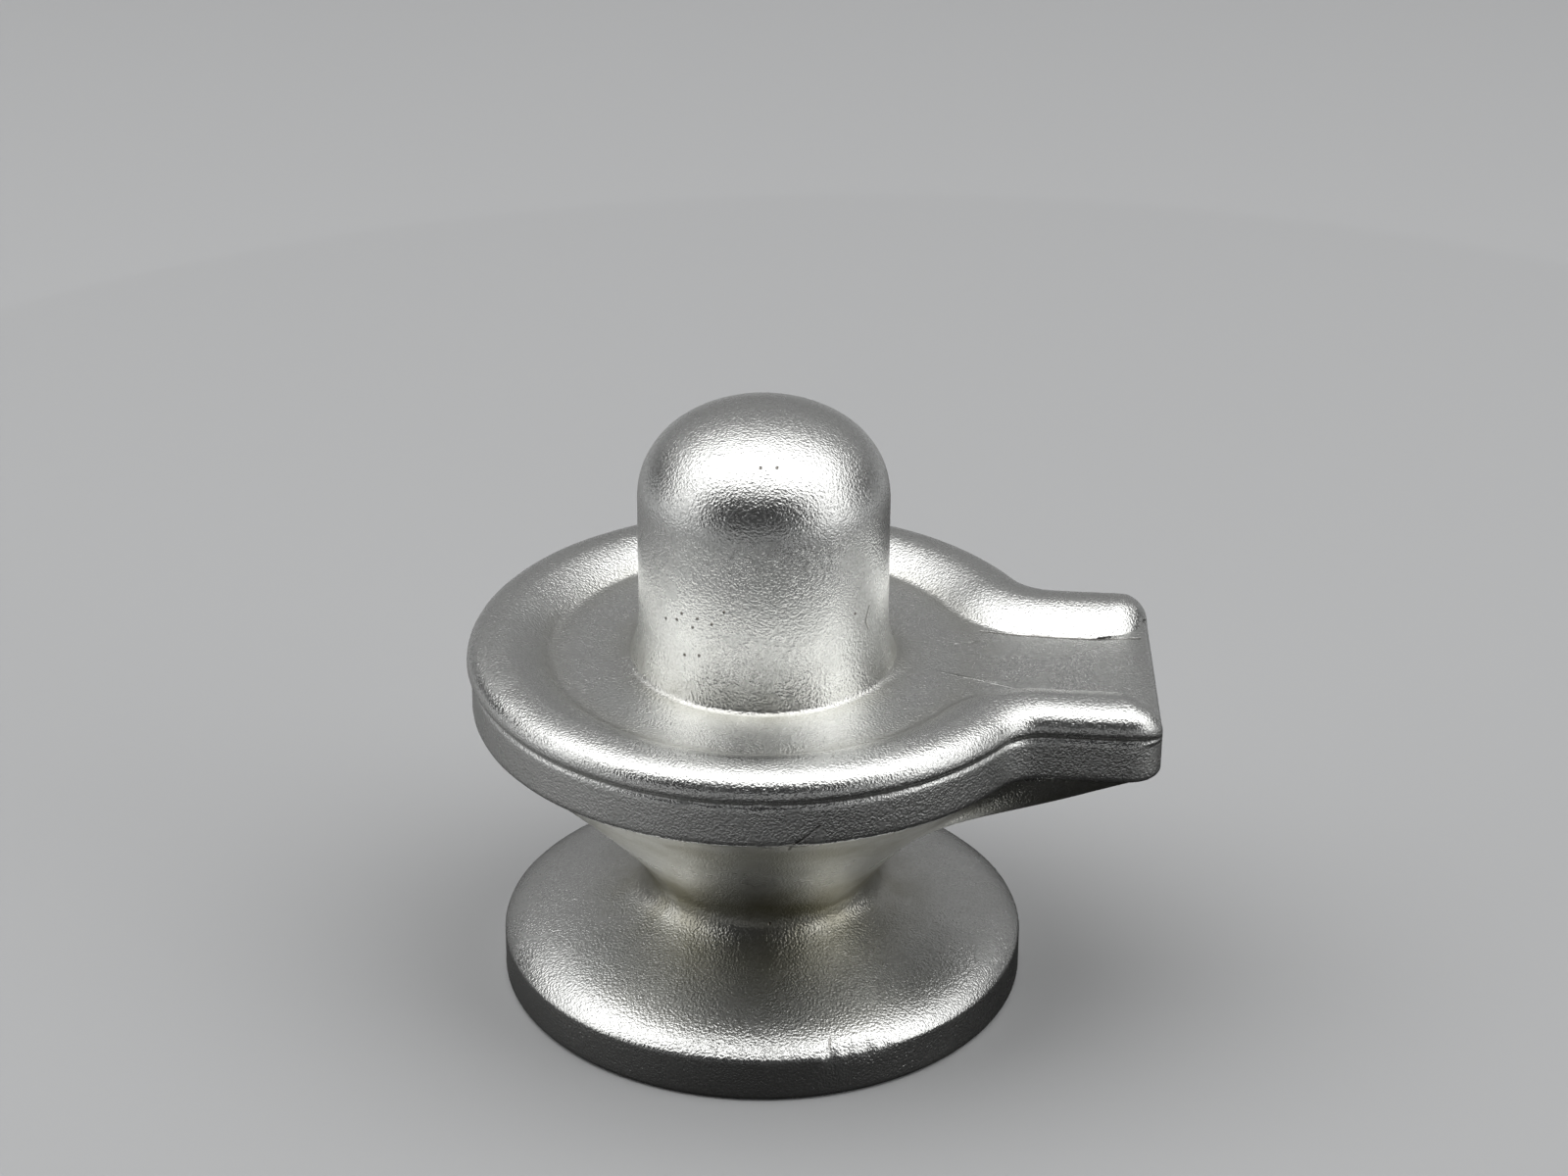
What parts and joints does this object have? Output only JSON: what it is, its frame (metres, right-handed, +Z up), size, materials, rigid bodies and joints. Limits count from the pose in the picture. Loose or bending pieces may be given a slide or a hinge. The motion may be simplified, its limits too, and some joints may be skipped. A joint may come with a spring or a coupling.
{
  "type": "shiva lingam",
  "caption": "Small solid silver shiva lingam: a domed pillar in a round rimmed basin with a spout, on a waisted foot.",
  "frame": {"origin": "middle of the foot's flat underside", "axes": "+Z up through the lingam, +X out along the spout, Y across"},
  "size_m": [0.0312, 0.0266, 0.0281],
  "materials": {
    "silver": "frosted cast silver, satin"
  },
  "bodies": {
    "root": {"shiva_lingam": "silver"}
  },
  "joints": []
}
